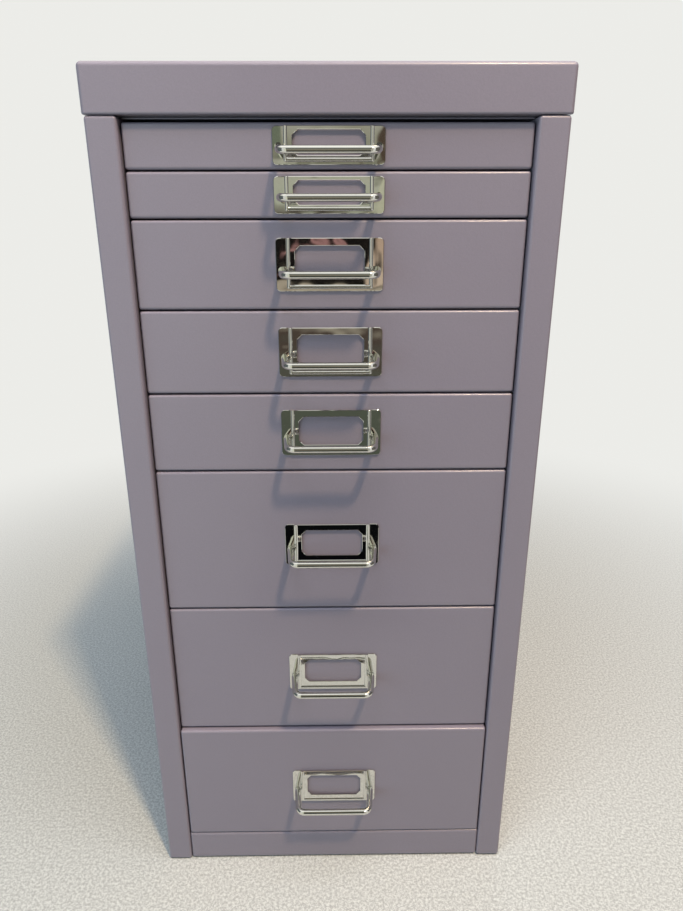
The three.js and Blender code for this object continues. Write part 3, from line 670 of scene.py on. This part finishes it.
plate_sheet = 0.0007
plate_corner = 0.0025
bead_half = 0.02505
bead_radius = 0.00135
bead_rise = 0.00145
bead_up = 0.00275
bead_steps = 12
pocket_raise = 0.0008
window_half = 0.02115
window_chamfer = 0.0032
rim_width = 0.00025
rim_drop = 0.0002
plate_kinds = ((1, (2,), 0.0020, 0.0049), (3, (4, 5, 6, 7, 8), 0.0044, 0.0075))
for n, alike, window_top, window_bottom in plate_kinds:
    first = f"drawer_{n}_label_plate"
    low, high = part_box(first)
    face_y = high.y - plate_sheet
    bead_z = low.z + bead_up
    top_z = high.z - window_top
    bottom_z = low.z + window_bottom
    bpy.ops.object.select_all(action="DESELECT")
    bpy.ops.mesh.primitive_plane_add(
        size=1, location=(0, face_y, (low.z + high.z) / 2), rotation=facing)
    plate = bpy.context.object
    plate.scale = (high.x - low.x, high.z - low.z, 1)
    plate.name = first + "_pressing"
    bpy.ops.object.transform_apply(location=True, rotation=True, scale=True)
    bpy.ops.object.mode_set(mode="EDIT")
    bpy.ops.mesh.select_all(action="SELECT")
    bpy.ops.mesh.bevel(offset=plate_corner, segments=6, affect="VERTICES")
    offsets = [bead_radius * math.cos(math.pi * step / bead_steps) for step in range(bead_steps + 1)]
    upright = [side * (bead_half + offset) for offset in offsets for side in (-1, 1)]
    upright += [-window_half, window_half, window_chamfer - window_half, window_half - window_chamfer]
    level = [bead_z - offset for offset in offsets]
    level += [top_z, bottom_z, top_z - window_chamfer, bottom_z + window_chamfer]
    for x in upright:
        bpy.ops.mesh.select_all(action="SELECT")
        bpy.ops.mesh.bisect(plane_co=(x, 0, 0), plane_no=(1, 0, 0))
    for z in level:
        bpy.ops.mesh.select_all(action="SELECT")
        bpy.ops.mesh.bisect(plane_co=(0, 0, z), plane_no=(0, 0, 1))
    for side in (-1, 1):
        for edge_z, inner_z in ((top_z, top_z - window_chamfer), (bottom_z, bottom_z + window_chamfer)):
            ends = ((side * window_half, inner_z), (side * (window_half - window_chamfer), edge_z))
            pick(plate, "VERT", lambda v: any(
                abs(v.co.x - x) < same and abs(v.co.z - z) < same for x, z in ends))
            bpy.ops.mesh.vert_connect()

    def in_window(point):
        """Whether a point lies inside the eight-sided window."""
        beside = window_half - abs(point.x)
        beyond = min(top_z - point.z, point.z - bottom_z)
        return beside > 0 and beyond > 0 and beside + beyond > window_chamfer

    pick(plate, "FACE", lambda face: in_window(face.calc_center_median()))
    bpy.ops.mesh.delete(type="FACE")

    def rise_at(point):
        """How far the press has pushed a point of the plate forward."""
        beside, below = abs(point.x) - bead_half, bead_z - point.z
        away = math.hypot(beside, below) if beside > 0 and below > 0 else max(beside, below)
        bead = bead_rise * math.sqrt(max(0, 1 - (away / bead_radius) ** 2))
        return max(bead, pocket_raise) if away <= 0 else bead

    bpy.ops.mesh.select_mode(type="VERT")
    rises = sorted({round(rise_at(v.co), 6) for v in bmesh.from_edit_mesh(plate.data).verts} - {0})
    for rise in rises:
        pick(plate, "VERT", lambda v: (
            abs(v.co.y - face_y) < 1e-7 and round(rise_at(v.co), 6) == rise))
        bpy.ops.transform.translate(value=(0, -rise, 0))
    bpy.ops.mesh.select_all(action="SELECT")
    bpy.ops.mesh.inset(thickness=rim_width, use_boundary=True, use_even_offset=True)
    pick(plate, "EDGE", lambda edge: edge.is_boundary)
    bpy.ops.transform.translate(value=(0, rim_drop, 0))
    thicken(plate, plate_sheet)
    drill_for_pull(plate, n, face_y)
    smooth(plate)
    fit_alike(plate, "label_plate", "pressing", chrome, n, alike)

# Each pull is one bright chromed wire: a bar, two bends and two legs. The legs are turned down to
# tenons, which pass through the plate and the front and are riveted over inside.
wire_chrome, shader, add, feed = new_finish("chromed_wire")
where = add("TexCoord").outputs["Object"]
haze = add("TexNoise", {"Vector": where, "Scale": 500.0, "Detail": 2.0})
feed("Base Color", blend(add, haze.outputs[0], (0.66, 0.66, 0.62, 1), (0.71, 0.71, 0.67, 1)))
shader.inputs["Metallic"].default_value = 1.0
feed("Roughness", spread(add, haze.outputs[0], 0.01, 0.04))


def push_rim(x=0, y=0, z=0):
    """Draws the open end of the wire on."""
    bpy.ops.mesh.extrude_edges_move(TRANSFORM_OT_translate={"value": (x, y, z)})


def push_face(y):
    """Draws the closed end of the wire on along the tenon."""
    bpy.ops.mesh.extrude_region_move(TRANSFORM_OT_translate={"value": (0, y, 0)})


wire_radius = 0.0023
wire_bend = 0.0048
bar_half = 0.0273
leg_straight = 0.0012
plate_front = 0.0013
tenon_radius = 0.0015
rivet_height = 0.0012
rivet_spread = 1.8
rivet_edge = 0.0005
seam = 0.00001
for n, alike, droop in ((1, (), 0.0036), (2, (3, 4, 5, 6, 7, 8), 0.0014)):
    first = f"drawer_{n}_pull"
    low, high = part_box(first)
    root_z = high.z - leg_below_top
    shoulder_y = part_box(f"drawer_{n}_front")[0].y - plate_front
    corner = Vector((-bar_half, low.y + wire_radius, root_z - droop))
    knee = Vector((-leg_half, shoulder_y - leg_straight, root_z))
    along_bar = Vector((-1, 0, 0))
    along_leg = (knee - corner).normalized()
    straight_in = Vector((0, 1, 0))
    bend_turn = along_bar.angle(along_leg)
    bend_reach = wire_bend * math.tan(bend_turn / 2)
    inward = (along_leg - along_bar * along_leg.dot(along_bar)).normalized()
    bend_pivot = corner - along_bar * bend_reach + inward * wire_bend
    bend_end = corner + along_leg * bend_reach
    knee_turn = along_leg.angle(straight_in)
    knee_reach = wire_bend * math.tan(knee_turn / 2)
    knee_start = knee - along_leg * knee_reach
    toward = (straight_in - along_leg * straight_in.dot(along_leg)).normalized()
    knee_pivot = knee_start + toward * wire_bend
    knee_end = knee + straight_in * knee_reach
    bpy.ops.object.select_all(action="DESELECT")
    bpy.ops.mesh.primitive_circle_add(vertices=24, radius=wire_radius, fill_type="NOTHING",
                                      location=(0, corner.y, corner.z), rotation=(0, math.pi / 2, 0))
    pull = bpy.context.object
    pull.name = first + "_wire"
    bpy.ops.object.transform_apply(location=True, rotation=True, scale=True)
    bpy.ops.object.mode_set(mode="EDIT")
    bpy.ops.mesh.select_all(action="SELECT")
    push_rim(x=corner.x + bend_reach)
    bpy.ops.mesh.spin(steps=12, angle=-bend_turn, center=bend_pivot, axis=along_bar.cross(along_leg))
    push_rim(*(knee_start - bend_end))
    bpy.ops.mesh.spin(steps=2, angle=-knee_turn, center=knee_pivot, axis=along_leg.cross(straight_in))
    push_rim(y=shoulder_y - knee_end.y)
    bpy.ops.mesh.edge_face_add()
    bpy.ops.mesh.inset(thickness=wire_radius - tenon_radius)
    push_face(high.y - rivet_height - shoulder_y)
    push_face(0)
    bpy.ops.transform.resize(
        value=(rivet_spread, 1, rivet_spread), center_override=(-leg_half, 0, root_z))
    push_face(rivet_height)
    bpy.ops.mesh.bevel(offset=rivet_edge, segments=3, affect="EDGES")
    bpy.ops.object.mode_set(mode="OBJECT")
    other_half = pull.modifiers.new("other_half", "MIRROR")
    other_half.merge_threshold = seam
    bpy.ops.object.modifier_apply(modifier=other_half.name)
    bpy.ops.object.mode_set(mode="EDIT")
    bpy.ops.mesh.select_all(action="SELECT")
    bpy.ops.mesh.remove_doubles(threshold=seam)
    bpy.ops.mesh.normals_make_consistent(inside=False)
    bpy.ops.object.mode_set(mode="OBJECT")
    smooth(pull, 40)
    fit_alike(pull, "pull", "wire", wire_chrome, n, alike)
